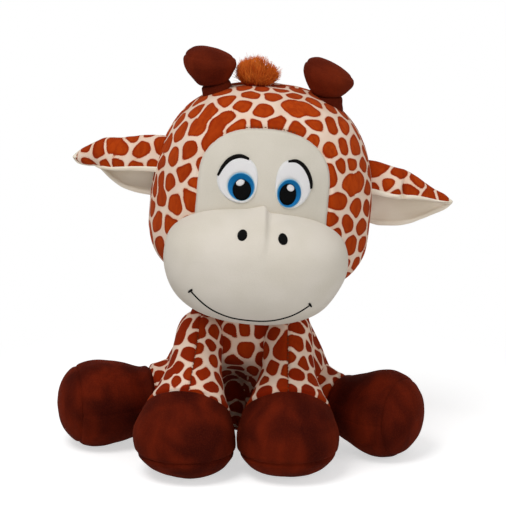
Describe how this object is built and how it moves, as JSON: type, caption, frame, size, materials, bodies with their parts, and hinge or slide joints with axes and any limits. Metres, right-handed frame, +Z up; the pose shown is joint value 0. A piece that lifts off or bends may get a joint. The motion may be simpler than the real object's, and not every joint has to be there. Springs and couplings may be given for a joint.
{
  "type": "plush giraffe",
  "caption": "Seated plush giraffe with a big head, broad cream muzzle, embroidered face and spotted pile cloth; head, ears, legs and tail flex at their seams.",
  "frame": {"origin": "middle of the toy's footprint box, on the floor it sits on", "axes": "+Z up, the face looks along -Y, +X is the toy's own left"},
  "size_m": [0.36, 0.2462, 0.3699],
  "materials": {
    "spotted_plush": "printed short pile, russet spots on cream",
    "cream_plush": "short cream pile",
    "brown_plush": "short dark brown pile with a soft sheen",
    "tuft_pile": "long tan pile",
    "filling": "loose polyester fibre",
    "white_thread": "satin-stitch embroidery thread",
    "blue_thread": "satin-stitch embroidery thread",
    "black_thread": "satin-stitch embroidery thread"
  },
  "bodies": {
    "body": {"body_cover": "spotted_plush", "body_filling": "filling"},
    "head": {"head_cover": "spotted_plush", "face_panel": "cream_plush", "head_filling": "filling", "muzzle_cover": "cream_plush", "muzzle_filling": "filling", "smile_line": "black_thread", "forelock": "tuft_pile", "left_eye_white": "white_thread", "left_iris": "blue_thread", "left_pupil": "black_thread", "left_eye_glint": "white_thread", "left_eyelid_line": "black_thread", "left_nostril": "black_thread", "left_horn_stalk": "brown_plush", "left_horn_cap": "brown_plush", "right_eye_white": "white_thread", "right_iris": "blue_thread", "right_pupil": "black_thread", "right_eye_glint": "white_thread", "right_eyelid_line": "black_thread", "right_nostril": "black_thread", "right_horn_stalk": "brown_plush", "right_horn_cap": "brown_plush"},
    "tail": {"tail": "spotted_plush", "tail_tuft": "tuft_pile"},
    "left_ear": {"left_ear_back": "spotted_plush", "left_ear_lining": "cream_plush"},
    "left_front_leg": {"left_front_leg_cover": "spotted_plush", "left_front_foot_cover": "brown_plush", "left_front_foot_sole": "brown_plush", "left_front_leg_filling": "filling"},
    "left_hind_leg": {"left_hind_leg_cover": "spotted_plush", "left_hind_foot_cover": "brown_plush", "left_hind_foot_sole": "brown_plush", "left_hind_leg_filling": "filling"},
    "right_ear": {"right_ear_back": "spotted_plush", "right_ear_lining": "cream_plush"},
    "right_front_leg": {"right_front_leg_cover": "spotted_plush", "right_front_foot_cover": "brown_plush", "right_front_foot_sole": "brown_plush", "right_front_leg_filling": "filling"},
    "right_hind_leg": {"right_hind_leg_cover": "spotted_plush", "right_hind_foot_cover": "brown_plush", "right_hind_foot_sole": "brown_plush", "right_hind_leg_filling": "filling"}
  },
  "joints": [
    {"name": "head_nod", "type": "hinge", "parent": "body", "child": "head", "pos_m": [-0.003, 0.0069, 0.15], "axis": [0.9948, 0.0349, -0.0958], "range_deg": [-8, 10]},
    {"name": "left_front_leg_swing", "type": "hinge", "parent": "body", "child": "left_front_leg", "pos_m": [0.0305, -0.0184, 0.135], "axis": [-1, 0, 0], "range_deg": [0, 30]},
    {"name": "right_front_leg_swing", "type": "hinge", "parent": "body", "child": "right_front_leg", "pos_m": [-0.046, -0.0185, 0.135], "axis": [-1, 0, 0], "range_deg": [0, 30]},
    {"name": "left_hind_leg_swing", "type": "hinge", "parent": "body", "child": "left_hind_leg", "pos_m": [0.075, 0.0425, 0.0425], "axis": [0, 0, 1], "range_deg": [0, 25]},
    {"name": "right_hind_leg_swing", "type": "hinge", "parent": "body", "child": "right_hind_leg", "pos_m": [-0.0855, 0.054, 0.0425], "axis": [0, 0, -1], "range_deg": [0, 25]},
    {"name": "left_ear_lift", "type": "hinge", "parent": "head", "child": "left_ear", "pos_m": [0.1174, 0.0185, 0.2681], "axis": [0.0347, -0.9994, -0.0033], "range_deg": [0, 40]},
    {"name": "right_ear_lift", "type": "hinge", "parent": "head", "child": "right_ear", "pos_m": [-0.0975, 0.0141, 0.2891], "axis": [0.3413, 0.9397, -0.023], "range_deg": [0, 40]},
    {"name": "tail_lift", "type": "hinge", "parent": "body", "child": "tail", "pos_m": [0, 0.086, 0.0764], "axis": [1, 0, 0], "range_deg": [0, 80]}
  ]
}
